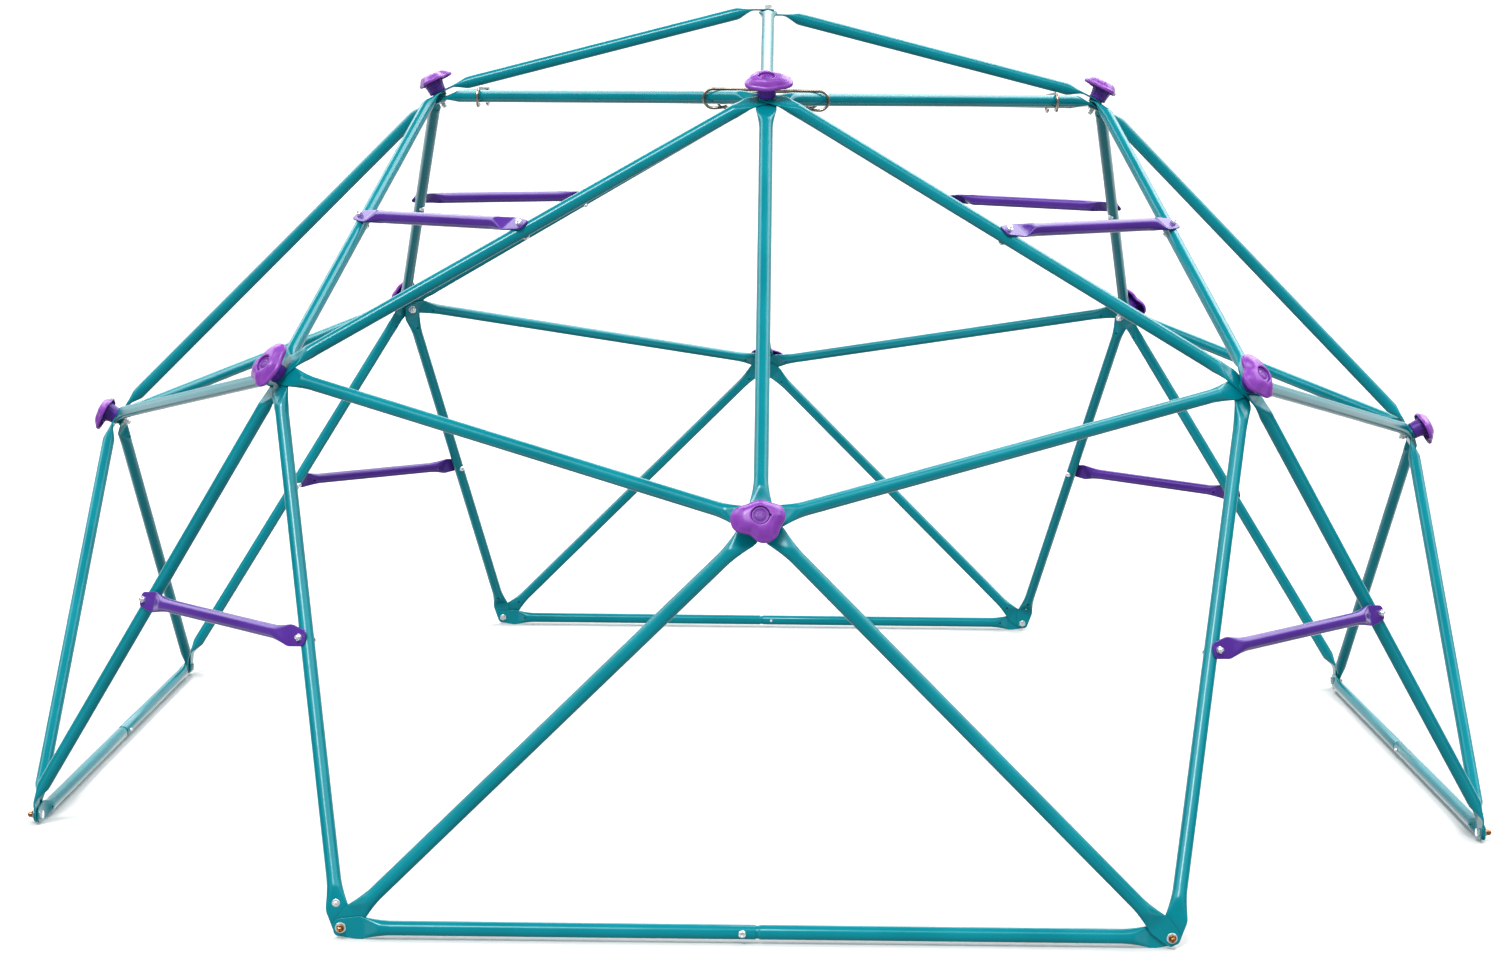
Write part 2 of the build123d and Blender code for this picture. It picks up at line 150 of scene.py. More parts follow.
def bendsOf(tabA, tabB):         # where each tab folds towards the other end
    startA, startB = tabA.translation, tabB.translation
    normalA, normalB = tabA.col[2].xyz, tabB.col[2].xyz
    bendA, bendB = startA.copy(), startB.copy()
    for _ in range(4):
        flatA, flatB = bendB - startA, bendA - startB
        flatA -= normalA * flatA.dot(normalA)
        flatB -= normalB * flatB.dot(normalB)
        bendA = startA + flatA.normalized() * tube["bendOut"]
        bendB = startB + flatB.normalized() * tube["bendOut"]
    return bendA, bendB


def axisOf(tabA, tabB):
    bendA, bendB = bendsOf(tabA, tabB)
    return (bendB - bendA).normalized()


def middleOf(tabA, tabB):
    bendA, bendB = bendsOf(tabA, tabB)
    return (bendA + bendB) / 2


def colour(text):                # sRGB hex to linear, with a solid alpha
    parts = [int(text[i:i + 2], 16) / 255 for i in (1, 3, 5)]
    return tuple(c / 12.92 if c <= 0.04045 else ((c + 0.055) / 1.055) ** 2.4 for c in parts) + (1.0,)


def addNode(tree, kind, settings=None, **inputs):
    # names in inputs are sockets, with _ for a space, or i and the socket's number
    node = tree.nodes.new("ShaderNode" + kind)
    for name, value in (settings or {}).items():
        setattr(node, name, value)
    for name, value in inputs.items():
        numbered = name[0] == "i" and name[1:].isdigit()
        socket = node.inputs[int(name[1:]) if numbered else name.replace("_", " ")]
        if isinstance(value, bpy.types.NodeSocket):
            tree.links.new(value, socket)
        else:
            socket.default_value = value
    return node


def newMaterial(name):
    made = bpy.data.materials.new(name)
    made.use_nodes = True
    return made, made.node_tree, made.node_tree.nodes["Principled BSDF"]


def blotches(tree, size, detail=2.0, roughness=0.5):    # noise whose patches are about this size
    place = addNode(tree, "TexCoord").outputs["Object"]
    noise = addNode(tree, "TexNoise", Vector=place, Scale=0.5 / size, Detail=detail, Roughness=roughness)
    return noise.outputs["Fac"]


def between(tree, amount, low, high, fromLow=0.3, fromHigh=0.7):
    return addNode(
        tree, "MapRange", Value=amount, From_Min=fromLow, From_Max=fromHigh, To_Min=low, To_Max=high
    ).outputs["Result"]


def twoTone(tree, amount, low, high):
    mixed = addNode(tree, "Mix", dict(data_type="RGBA"), Factor=amount, i6=colour(low), i7=colour(high))
    return mixed.outputs[2]


def powderCoat(name, deep, light, roughness):
    # polyester powder, sprayed and baked on steel: smooth gloss, faint orange peel, cloudy thickness
    made, tree, shader = newMaterial(name)
    cloud = blotches(tree, 60 * mm, 3.0)                    # thicker and thinner film along a bar
    peel = blotches(tree, 2.4 * mm, 2.0)                    # orange peel is about 1 mm; drawn coarser to show
    speck = blotches(tree, 1.2 * mm, 1.0)                   # powder grains in the film
    tone = twoTone(tree, between(tree, cloud, 0.0, 1.0), deep, light)
    darken = dict(data_type="RGBA", blend_type="MULTIPLY")
    grain = addNode(tree, "Mix", darken, Factor=0.05, i6=tone)
    tree.links.new(between(tree, speck, 0.55, 1.0, 0.35, 0.6), grain.inputs[7])
    tree.links.new(grain.outputs[2], shader.inputs["Base Color"])
    tree.links.new(between(tree, cloud, roughness - 0.04, roughness + 0.05), shader.inputs["Roughness"])
    bump = addNode(tree, "Bump", Height=peel, Strength=0.2, Distance=0.015 * mm)
    wave = addNode(tree, "Bump", Height=cloud, Normal=bump.outputs["Normal"], Strength=0.2, Distance=0.3 * mm)
    tree.links.new(wave.outputs["Normal"], shader.inputs["Normal"])
    shader.inputs["IOR"].default_value = 1.5
    shader.inputs["Specular IOR Level"].default_value = 0.25
    return made


def mouldedPolypropylene(name, deep, light, roughness):
    # injection-moulded, lightly spark-textured: a waxy sheen, soft cloudy flow, fine leathery grain
    made, tree, shader = newMaterial(name)
    flow = blotches(tree, 22 * mm, 3.0)
    grain = blotches(tree, 1.6 * mm, 2.0)                   # real grain is 0.3 mm; drawn coarser to show
    tree.links.new(twoTone(tree, between(tree, flow, 0.0, 1.0), deep, light), shader.inputs["Base Color"])
    tree.links.new(between(tree, grain, roughness - 0.06, roughness + 0.08), shader.inputs["Roughness"])
    bump = addNode(tree, "Bump", Height=grain, Strength=0.2, Distance=0.02 * mm)
    tree.links.new(bump.outputs["Normal"], shader.inputs["Normal"])
    shader.inputs["IOR"].default_value = 1.49
    shader.inputs["Specular IOR Level"].default_value = 0.4
    shader.inputs["Subsurface Weight"].default_value = 0.12
    shader.inputs["Subsurface Radius"].default_value = (0.9, 0.5, 1.0)
    shader.inputs["Subsurface Scale"].default_value = 2.5 * mm
    return made


def platedSteel(name, deep, light, roughness, bare=1.0):
    # barrel-plated or drawn steel: bright, with an uneven film and fine rubbing marks;
    # bare is the share with no dull white bloom over it
    made, tree, shader = newMaterial(name)
    film = blotches(tree, 7 * mm, 3.0)
    marks = blotches(tree, 0.9 * mm, 4.0, 0.7)              # real marks are 0.1 mm; drawn coarser to show
    tree.links.new(twoTone(tree, between(tree, film, 0.0, 1.0), deep, light), shader.inputs["Base Color"])
    tree.links.new(between(tree, marks, roughness - 0.08, roughness + 0.14), shader.inputs["Roughness"])
    bump = addNode(tree, "Bump", Height=marks, Strength=0.2, Distance=0.04 * mm)
    tree.links.new(bump.outputs["Normal"], shader.inputs["Normal"])
    shader.inputs["Metallic"].default_value = bare
    return made


tealCoat = powderCoat("powderCoatedSteelTeal", "#00737D", "#007D88", 0.20)
purpleCoat = powderCoat("powderCoatedSteelPurple", "#4B2B80", "#56338C", 0.20)
capPlastic = mouldedPolypropylene("mouldedPolypropylenePurple", "#743594", "#8040A2", 0.34)
# the caps' underside: a rougher face, and a darker purple that paints the shade under the disc
underPaintedShadePlastic = mouldedPolypropylene("mouldedPolypropylenePaintedShadePurple", "#491C80", "#55258E", 0.46)
plugPlastic = mouldedPolypropylene("mouldedPolypropyleneDeepPurple", "#632A86", "#6C3090", 0.40)
zinc = platedSteel("zincPlatedSteel", "#D2D5D8", "#EEF0F1", 0.28, 0.75)
yellowZinc = platedSteel("yellowPassivatedSteel", "#84552F", "#B5855A", 0.26)
wireMetal = platedSteel("drawnSteelWire", "#7E766C", "#A89F94", 0.28)
print("materials made")


def meshFromRings(name, rings, loop=False):
    # rings are equal lists of points; each is joined to the next by quads, and the ends are closed
    made = bmesh.new()
    rows = [[made.verts.new(p) for p in ring] for ring in rings]
    count = len(rows[0])
    pairs = list(zip(rows, rows[1:])) + ([(rows[-1], rows[0])] if loop else [])
    for low, high in pairs:
        for i in range(count):
            j = (i + 1) % count
            made.faces.new((low[i], low[j], high[j], high[i]))
    if not loop:
        made.faces.new(rows[0][::-1])
        made.faces.new(rows[-1])
    bmesh.ops.recalc_face_normals(made, faces=made.faces)
    mesh = bpy.data.meshes.new(name)
    made.to_mesh(mesh)
    made.free()
    return mesh


def joined(name, parts):         # parts are (mesh, matrix)
    made = bmesh.new()
    for mesh, place in parts:
        copy = mesh.copy()
        copy.transform(place)
        made.from_mesh(copy)
        bpy.data.meshes.remove(copy)
    mesh = bpy.data.meshes.new(name)
    made.to_mesh(mesh)
    made.free()
    return mesh


def drilled(mesh, cuts):         # cuts are (matrix at the hole's middle, radius, length)
    tool = bmesh.new()
    for place, radius, length in cuts:
        bmesh.ops.create_cone(
            tool, cap_ends=True, segments=28, radius1=radius, radius2=radius, depth=length, matrix=place
        )
    toolMesh = bpy.data.meshes.new("drill")
    tool.to_mesh(toolMesh)
    tool.free()
    body = bpy.data.objects.new("drillBody", mesh)
    drill = bpy.data.objects.new("drill", toolMesh)
    for obj in (body, drill):
        bpy.context.collection.objects.link(obj)
    cut = body.modifiers.new("drill", "BOOLEAN")
    cut.operation, cut.solver, cut.object = "DIFFERENCE", "EXACT", drill
    bpy.context.view_layer.update()
    seen = body.evaluated_get(bpy.context.evaluated_depsgraph_get())
    made = bpy.data.meshes.new_from_object(seen)
    bpy.data.objects.remove(body)
    bpy.data.objects.remove(drill)
    bpy.data.meshes.remove(toolMesh)
    bpy.data.meshes.remove(mesh)
    return made


def addPiece(name, mesh, material, slotName, *nodes, sharp=38, second=None):
    for coat in filter(None, (material, second)):
        mesh.materials.append(coat)
    mesh.shade_smooth()
    mesh.set_sharp_from_angle(angle=math.radians(sharp))
    piece = bpy.data.objects.new(name, mesh)
    bpy.context.collection.objects.link(piece)
    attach(piece, "root")
    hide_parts(*nodes)
    return piece


def smooth(t):
    t = min(max(t, 0.0), 1.0)
    return t * t * (3 - 2 * t)


# Each bar is a round tube whose ends are pressed flat, folded and drilled.
# A ground bar is two tubes, one swaged down to slide inside the other.
joint = dict(
    spigotLong=70 * mm,
    spigotHollow=12 * mm,        # how far the swaged end is open
    swageStart=1.5 * mm,         # ahead of the shoulder
    swageLong=4.5 * mm,
    play=0.1 * mm,
    screwIn=20 * mm,             # sleeve's mouth to its cross screw
    gap=6 * mm,                  # sleeve's mouth to the other half's shoulder
    boreDeep=78 * mm,
)
seatRise = tube["radius"] + tube["tabThick"] / 2    # a crossed bar's middle to a rung's tab

noseSlope = math.atan2(tube["tabWide"] / 2 - tube["tabNose"], tube["tabShoulder"] + tube["tabEnd"])
noseTrim = tube["noseRound"] * math.tan((math.pi / 2 - noseSlope) / 2)
noseFlat = tube["tabNose"] - noseTrim    # half width of the straight part of the tab's end


def tabHalfWidth(along):         # along is from the bolt, towards the bar
    nose = along + tube["tabEnd"]
    if nose < noseTrim * math.cos(noseSlope):
        gap = tube["noseRound"] - nose
        return noseFlat + math.sqrt(max(tube["noseRound"] ** 2 - gap ** 2, 0))
    slanted = tube["tabNose"] + nose * math.tan(noseSlope)
    return min(slanted, tube["tabWide"] / 2)


def sectionAt(side, up, half, thick, squareness, dent):
    # one ring: a rounded oblong of half width and half thickness, with a dent across the middle of both faces
    ring = []
    for i in range(tube["around"]):
        angle = 2 * math.pi * i / tube["around"]
        c, s = math.cos(angle), math.sin(angle)
        x = half * math.copysign(abs(c) ** (2 / squareness), c)
        y = thick * math.copysign(abs(s) ** (2 / squareness), s)
        y -= math.copysign(dent * math.exp(-((x / tube["grooveSpread"]) ** 2)), y) * (abs(s) > 0.2)
        ring.append(side * x + up * y)
    return ring


def endRings(tab, bend, towards):
    # rings from the tab's end to where its neck is round; towards is the tube's way on from this end
    start, normal = tab.translation, tab.col[2].xyz
    flat = (bend - start).normalized()
    side = normal.cross(flat)
    rings = []
    rim = ((0.0, 0.55), (0.25 * mm, 0.82), (0.7 * mm, 1.0))    # rounded end: distance, share of thickness
    alongs = [(-tube["tabEnd"] + d, t) for d, t in rim]
    spots = [-tube["tabEnd"] + d * mm for d in tube["tabRings"]]
    alongs += [(spot, 1.0) for spot in spots if spot < tube["bendOut"] - tube["bendRound"]]
    for along, share in alongs:
        half = tabHalfWidth(along)
        thick = tube["tabThick"] / 2 * share
        section = sectionAt(side, normal, half, thick, tube["squareness"], 0)
        rings.append([start + flat * along + p for p in section])
    for k in range(tube["foldRings"]):
        t = k / (tube["foldRings"] - 1)
        first, last = bend - flat * tube["bendRound"], bend + towards * tube["bendRound"]
        spot = first * (1 - t) ** 2 + bend * 2 * t * (1 - t) + last * t * t
        heading = (flat * (1 - t) + towards * t).normalized()
        rings.append(neckRing(spot, heading, side, (t - 0.5) * 2 * tube["bendRound"]))
    for k in range(1, tube["neckRings"] + 1):
        out = tube["bendRound"] + (tube["neckLong"] - tube["bendRound"]) * k / tube["neckRings"]
        rings.append(neckRing(bend + towards * out, towards, side, out))
    return rings


def neckRing(spot, heading, side, out):
    # out is from the bend along the tube; it swells to full thickness sooner than it narrows to full round
    share = min(max(out / tube["neckLong"], 0.0), 1.0)
    grown = smooth((out + tube["swellEarly"]) / (tube["swellLong"] + tube["swellEarly"]))
    shrunk = (1 - share) ** tube["narrowing"]
    half = tube["radius"] + (tube["tabWide"] / 2 - tube["radius"]) * shrunk
    thick = tube["tabThick"] / 2 + (tube["radius"] - tube["tabThick"] / 2) * grown
    squareness = 2 + (tube["squareness"] - 2) * (1 - share) ** 5
    dent = tube["groove"] * math.sin(math.pi * min(share / 0.55, 1.0)) * smooth(share * 8)
    return [spot + p for p in sectionAt(side, heading.cross(side), half, thick, squareness, dent)]


def circleRing(centre, heading, side, radius):
    up = heading.cross(side)
    step = 2 * math.pi / tube["around"]
    return [
        centre + side * (radius * math.cos(i * step)) + up * (radius * math.sin(i * step))
        for i in range(tube["around"])
    ]


def holeCuts(tab, bend, inward, hole):
    spot = planeAt(bend + inward * tube["neckLong"] * 0.5, inward, tab.col[2].xyz)
    vent = lifted(spot, -tube["ventDepth"])    # pierces only the inner wall
    return [(tab, hole, tube["tabDrill"]), (vent, tube["vent"], tube["tabDrill"])]


def barMesh(name, tabA, tabB, hole=tube["boltHole"], crossHoles=()):
    bendA, bendB = bendsOf(tabA, tabB)
    along = (bendB - bendA).normalized()
    firstRings = endRings(tabA, bendA, along)
    lastRings = endRings(tabB, bendB, -along)
    # ring B is drawn looking back along the bar: reverse it, then line its points up with ring A's
    sideA = tabA.col[2].xyz.cross((bendA - tabA.translation).normalized())
    count = tube["around"]
    tail = [ring[::-1] for ring in lastRings[::-1]]
    centre = sum(tail[0], Vector()) / count
    arm = tail[0][0] - centre
    angle = math.atan2(arm.dot(along.cross(sideA)), arm.dot(sideA))
    shift = round(-angle / (2 * math.pi / count))
    tail = [[ring[(i + shift) % count] for i in range(count)] for ring in tail]
    middle = []
    startRound, endRound = bendA + along * tube["neckLong"], bendB - along * tube["neckLong"]
    for k in range(1, 6):
        middle.append(circleRing(startRound.lerp(endRound, k / 6), along, sideA, tube["radius"]))
    mesh = meshFromRings(name, firstRings + middle + tail)
    cuts = holeCuts(tabA, bendA, along, hole) + holeCuts(tabB, bendB, -along, hole)
    return drilled(mesh, cuts + list(crossHoles))


def halfBarMesh(name, tab, otherTab, cutAt, spigot, crossHoles):
    # half of a ground bar, from its own tab to cutAt past the bend
    bendHere, bendThere = bendsOf(tab, otherTab)
    along = (bendThere - bendHere).normalized()
    side = tab.col[2].xyz.cross((bendHere - tab.translation).normalized())
    rings = endRings(tab, bendHere, along)
    radius, inner = tube["radius"], tube["radius"] - tube["wall"]
    steps = [(cutAt * k / 3 + tube["neckLong"] * (1 - k / 3), radius) for k in (1, 2)]
    if spigot:                   # swaged down to fit inside the other half
        thin = inner - joint["play"]
        for k in range(7):
            swaged = radius + (thin - radius) * smooth(k / 6)
            steps.append((cutAt - joint["swageStart"] + joint["swageLong"] * k / 6, swaged))
        end = cutAt + joint["spigotLong"]
        steps += [(end - 20 * mm, thin), (end - 0.4 * mm, thin), (end, thin - 0.4 * mm)]
        steps += [(end, thin - tube["wall"]), (end - joint["spigotHollow"], thin - tube["wall"])]
    else:
        steps += [(cutAt - 0.5 * mm, radius), (cutAt - 0.15 * mm, radius - 0.12 * mm)]
        steps += [(cutAt, radius - 0.4 * mm)]
        steps += [(cutAt, inner + 0.3 * mm), (cutAt - 0.3 * mm, inner), (cutAt - joint["boreDeep"], inner)]
    rings += [circleRing(bendHere + along * out, along, side, r) for out, r in steps]
    mesh = meshFromRings(name, rings)
    return drilled(mesh, holeCuts(tab, bendHere, along, tube["boltHole"]) + list(crossHoles))


def rungSeat(ends, otherEnds):
    # where a rung's tab lies, on the outer side of a bar and square to both bars
    across = axisOf(*ends).cross(axisOf(*otherEnds)).normalized()
    spot = middleOf(*ends)
    outward = across if across.dot(spot) > 0 else -across
    return planeAt(spot + outward * seatRise, axisOf(*ends), outward)


ring, nextRing = ringHub(0), ringHub(90)
mid = sideHub(0)
rightCorner, leftCorner = cornerHub(0), cornerHub(-90)
leftFoot, rightFoot, nextFoot = footPlane(-1, 0), footPlane(1, 0), footPlane(-1, 90)

spokes = (
    (tabIn(rightCorner, cornerStack, "spokeLeft"), tabIn(ring, ringStack, "spokeRight")),
    (tabIn(rightCorner, cornerStack, "spokeRight"), tabIn(nextRing, ringStack, "spokeLeft")),
)
legs = (
    (tabIn(rightCorner, cornerStack, "legLeft"), tabIn(rightFoot, rightFootStack, "cornerLeg")),
    (tabIn(rightCorner, cornerStack, "legRight"), tabIn(nextFoot, leftFootStack, "cornerLeg")),
)
upperSeats = rungSeat(spokes[0], spokes[1]), rungSeat(spokes[1], spokes[0])
lowerSeats = rungSeat(legs[0], legs[1]), rungSeat(legs[1], legs[0])
groundEnds = tabIn(leftFoot, leftFootStack, "ground"), tabIn(rightFoot, rightFootStack, "ground")
groundBends, groundAxis = bendsOf(*groundEnds), axisOf(*groundEnds)
groundHalf = (groundBends[1] - groundBends[0]).length / 2
jointSpot = middleOf(*groundEnds) - groundAxis * joint["screwIn"]
jointLine = planeAt(jointSpot, groundAxis, leftFoot.col[2].xyz)
jointCuts = [(jointLine, tube["smallHole"], tube["barDrill"])]
waists = (
    (tabIn(mid, sideStack, "waistLeft"), tabIn(leftCorner, cornerStack, "waistRight")),
    (tabIn(mid, sideStack, "waistRight"), tabIn(rightCorner, cornerStack, "waistLeft")),
)
sideLegs = (
    (tabIn(mid, sideStack, "legLeft"), tabIn(leftFoot, leftFootStack, "sideLeg")),
    (tabIn(mid, sideStack, "legRight"), tabIn(rightFoot, rightFootStack, "sideLeg")),
)
ringEnds = tabIn(ring, ringStack, "ringRight"), tabIn(nextRing, ringStack, "ringLeft")
strutEnds = tabIn(ring, ringStack, "strut"), tabIn(mid, sideStack, "strut")


def pairMesh(name, pair, seats=(None, None)):    # two bars in one piece, each drilled under its rung's seat
    bars = []
    for ends, seat in zip(pair, seats):
        cuts = [(lifted(seat, -seatRise), tube["smallHole"], tube["barDrill"])] if seat else []
        bars.append((barMesh(name, *ends, crossHoles=cuts), Matrix.Identity(4)))
    return joined(name, bars)


def addQuarters(label, mesh, material, slotName, node, suffixes):
    for quarter, suffix in enumerate(suffixes):
        own = mesh.copy()
        own.transform(Matrix.Rotation(math.radians(90 * quarter), 4, "Z"))
        addPiece(f"{label}.{suffix}", own, material, slotName, f"{node}_{suffix}")


sleeveMesh = halfBarMesh("groundSleeve", groundEnds[0], groundEnds[1], groundHalf, False, jointCuts)
insertMesh = halfBarMesh(
    "groundInsert", groundEnds[1], groundEnds[0], groundHalf - joint["gap"], True, jointCuts
)
tealBars = (                     # piece, CAD node, where it repeats, first quarter's mesh
    ("ringBar", "ring_bar", corners, barMesh("ringBar", *ringEnds)),
    ("strut", "strut", sides, barMesh("strut", *strutEnds)),
    ("waistBars", "waist_bars", sides, pairMesh("waistBars", waists)),
    ("sideLegs", "side_legs", sides, pairMesh("sideLegs", sideLegs)),
    ("groundSleeve", "ground_sleeve", sides, sleeveMesh),
    ("groundInsert", "ground_insert", sides, insertMesh),
    ("spokes", "spokes", corners, pairMesh("spokes", spokes, upperSeats)),
    ("cornerLegs", "corner_legs", corners, pairMesh("cornerLegs", legs, lowerSeats)),
)
for label, node, suffixes, mesh in tealBars:
    addQuarters(label, mesh, tealCoat, "teal_steel", node, suffixes)
for quarter, side in enumerate(sides):
    ringEnd = tabIn(ringHub(90 * quarter), ringStack, "apex")
    apexBar = barMesh("apexBar", tabIn(apexPlane, apexStack, side), ringEnd)
    addPiece(f"apexBar.{side}", apexBar, tealCoat, "teal_steel", f"apex_bar_{side}")
for label, seats in (("upper", upperSeats), ("lower", lowerSeats)):
    rungMesh = barMesh("rung", *seats, hole=tube["smallHole"])
    addQuarters(f"{label}Rung", rungMesh, purpleCoat, "purple_steel", f"{label}_rung", corners)
print("bars and rungs made")


# Each hub cap is a pillowed shell with three unequal lobes on a flared stem, closed by a round plug.
cap = dict(
    stemLow=15.5 * mm,
    stemTop=18.5 * mm,
    stemFlare=1.7,               # above 1, the stem widens mostly near the disc
    tall=36 * mm,
    rimLow=19.5 * mm,
    rimTop=26 * mm,
    wall=2.6 * mm,               # the disc is a shell, open below
    baseRadius=26.5 * mm,
    lobes=((188, 17, 40), (290, 12, 41), (12, 9.5, 34)),    # direction, more radius in mm, spread in degrees
    swell=0.9 * mm,              # how far the biggest lobe bulges up
    slope=0.25,                  # share of the top's fall that is even; the rest is near the rim
    crown=2.4,                   # higher gives a flatter top and a steeper rim
    recess=13.5 * mm,
    well=11 * mm,
    floor=10 * mm,
    plugThick=5 * mm,
    plugSunk=3 * mm,
    plugPlay=0.12 * mm,
    ribs=8,                      # under the disc, out from the stem
    notchOut=2.3 * mm,           # finger-nail notch beside the plug
    notchSpread=7,
    turns=dict(ring=180, side=0, corner=262),    # degrees about the bolt
    around=144,
    topRings=12,
    roofRings=8,
    stemRings=10,
)


def capRadius(degrees):
    extra = 0.0
    for centre, more, spread in cap["lobes"]:
        away = (degrees - centre + 180) % 360 - 180
        extra += more * mm * math.exp(-((abs(away) / spread) ** 3))
    return cap["baseRadius"] + extra


def topFall(across):             # how far the top has dropped, from the recess (0) to the shoulder (1)
    bulge = cap["slope"] * across + (1 - cap["slope"]) * across ** cap["crown"]
    return (cap["tall"] - cap["rimTop"]) * bulge


def capProfile(degrees):
    # radius and height from the bolt hole up the well, over the top, round the rim, and down the stem,
    # with how many rows come before the underside
    outer = capRadius(degrees)
    lobe = (outer - cap["baseRadius"]) / (cap["lobes"][0][1] * mm)
    away = (degrees + 180) % 360 - 180
    notch = cap["notchOut"] * math.exp(-((away / cap["notchSpread"]) ** 4))
    tall, recess = cap["tall"], cap["recess"]
    seat = tall - cap["plugSunk"] - cap["plugThick"]
    rows = [(tube["boltHole"], 0), (tube["boltHole"], cap["floor"]), (cap["well"], cap["floor"])]
    rows += [(cap["well"], seat), (recess, seat), (recess, tall - 5.5 * mm)]
    rows += [(recess + notch, tall - 5.0 * mm), (recess + notch, tall - 1.2 * mm)]
    rows += [(recess + notch + 0.35 * mm, tall - 0.35 * mm), (recess + notch + 1.2 * mm, tall)]
    lip = recess + notch + 1.2 * mm
    shoulder = outer - 2.6 * mm
    for k in range(1, cap["topRings"] + 1):
        t = k / cap["topRings"]
        swell = cap["swell"] * lobe * math.sin(math.pi * t) ** 2
        rows.append((lip + (shoulder - lip) * t, tall - topFall(t) + swell))
    top, low = cap["rimTop"], cap["rimLow"]
    rows += [(outer - 1.3 * mm, top - 0.4 * mm), (outer - 0.45 * mm, top - 1.3 * mm), (outer, top - 2.6 * mm)]
    rows += [(outer, low + 1.6 * mm), (outer - 0.3 * mm, low + 0.7 * mm), (outer - 0.9 * mm, low + 0.15 * mm)]
    rows += [(outer - 1.6 * mm, low), (outer - 2.3 * mm, low + 0.2 * mm)]
    before = len(rows)
    inner = outer - 3.0 * mm
    onRib = degrees % (360 / cap["ribs"]) in (0.0, 360 / cap["around"])
    for k in range(cap["roofRings"] + 1):    # roof of the hollow, with ribs that run in to the stem
        t = k / cap["roofRings"]
        r = inner + (cap["stemTop"] - inner) * t
        across = max(0.0, (r - lip) / (shoulder - lip))
        roof = tall - topFall(across) - cap["wall"] - 1.4 * mm * t
        rows.append((r, low + 1.5 * mm if onRib else max(low + 0.5 * mm, roof)))
    for k in range(1, cap["stemRings"] + 1):
        t = k / cap["stemRings"]
        flare = (1 - t) ** cap["stemFlare"]
        r = cap["stemTop"] + (cap["stemLow"] - cap["stemTop"]) * (1 - flare)
        rows.append((r, rows[-k][1] * (1 - t) + 0.6 * mm * t))
    rows += [(cap["stemLow"] - 0.5 * mm, 0)]
    return rows, before


def capMesh():
    step = 360 / cap["around"]
    columns = [capProfile(i * step)[0] for i in range(cap["around"])]
    rings = []
    for row in range(len(columns[0])):
        ring = []
        for i, column in enumerate(columns):
            r, z = column[row]
            angle = math.radians(i * step)
            ring.append(Vector((r * math.cos(angle), r * math.sin(angle), z)))
        rings.append(ring)
    mesh = meshFromRings("cap", rings, loop=True)
    before = capProfile(0)[1]
    for i, face in enumerate(mesh.polygons):
        face.material_index = int(i // cap["around"] >= before)    # the underside takes the darker painted-shade material
    return mesh


def turnedMesh(name, rows, around=40, loop=False):
    # a lathe-turned form; rows are (radius, height)
    rings = []
    for r, z in rows:
        rings.append([
            Vector((r * math.cos(2 * math.pi * i / around), r * math.sin(2 * math.pi * i / around), z))
            for i in range(around)
        ])
    return meshFromRings(name, rings, loop)


def plugMesh():
    # a chamfered disc with two rings pressed into its face
    top, thick, radius = cap["tall"] - cap["plugSunk"], cap["plugThick"], cap["recess"] - cap["plugPlay"]
    rows = [(radius - 0.6 * mm, top - thick), (radius, top - thick + 0.6 * mm), (radius, top - 1.1 * mm)]
    rows += [(radius - 0.35 * mm, top - 0.35 * mm), (radius - 1.1 * mm, top)]
    for r, down in ((9.4, 0.05), (9.0, 0.5), (8.2, 0.5), (7.8, 0.05), (4.6, 0), (4.3, 0.45), (3.6, 0.45)):
        rows.append((r * mm, top - down * mm))
    rows += [(3.3 * mm, top), (1.0 * mm, top + 0.1 * mm)]
    return turnedMesh("plug", rows, 64)


capShape, plugShape = capMesh(), plugMesh()
quarters = [90 * k for k in range(4)]
hubKinds = {"ring": (ringHub, ringStack), "side": (sideHub, sideStack), "corner": (cornerHub, cornerStack)}
hubSpots = []                    # bolt plane and stack of all twelve hubs
plugParts = []
for kind, (planeFor, stack) in hubKinds.items():
    seats = [lifted(planeFor(turn), stackHalf(stack)) for turn in quarters]
    spin = Matrix.Rotation(math.radians(cap["turns"][kind]), 4, "Z")
    caps = joined("hubCaps", [(capShape, seat @ spin) for seat in seats])
    # the second material paints shade on each cap's underside in a darker purple
    addPiece(
        f"hubCaps.{kind}", caps, capPlastic, "purple_plastic", f"{kind}_hub_caps",
        sharp=50, second=underPaintedShadePlastic,
    )
    plugParts += [(plugShape, seat @ spin) for seat in seats]
    hubSpots += [(planeFor(turn), stack) for turn in quarters]
addPiece("capPlugs", joined("capPlugs", plugParts), plugPlastic, "plug_plastic", "cap_plugs", sharp=50)
print("hub caps made")


bolt = dict(                     # hubs, apex and feet
    d=8 * mm,
    pitch=1.25 * mm,
    flats=13 * mm,
    headTall=5.3 * mm,
    nutTall=6.5 * mm,
    washer=16 * mm,
    washerThick=1.6 * mm,
    threadOut=4 * mm,            # past the nut
    threadLong=16 * mm,
)
smallBolt = dict(                # rungs and ground-bar joints
    d=6 * mm,
    pitch=1.0 * mm,
    flats=10 * mm,
    headD=11.5 * mm,
    headTall=3.6 * mm,
    nutTall=5 * mm,
    threadOut=4 * mm,
    socket=2.0 * mm,             # half the width of the hexagon socket
    plain=0.55,                  # share of the shank with no thread
)
domeNut = dict(flats=10.5 * mm, hexTall=3.2 * mm, radius=4.6 * mm, tall=10.5 * mm, thread=5.9 * mm)
footScrew = dict(
    headD=12 * mm,
    headTall=2.6 * mm,
    shank=3.8 * mm,
    long=11 * mm,
    lift=3.8 * mm,               # from the bar's middle to under the head
    past=7 * mm,                 # beyond the bend
)
turnedFace = 0.97                # a hexagon's turned face against its flats
boltAround = 48                  # points round a bolt or nut
smallGap = 0.2 * mm              # shank to the first ring of thread


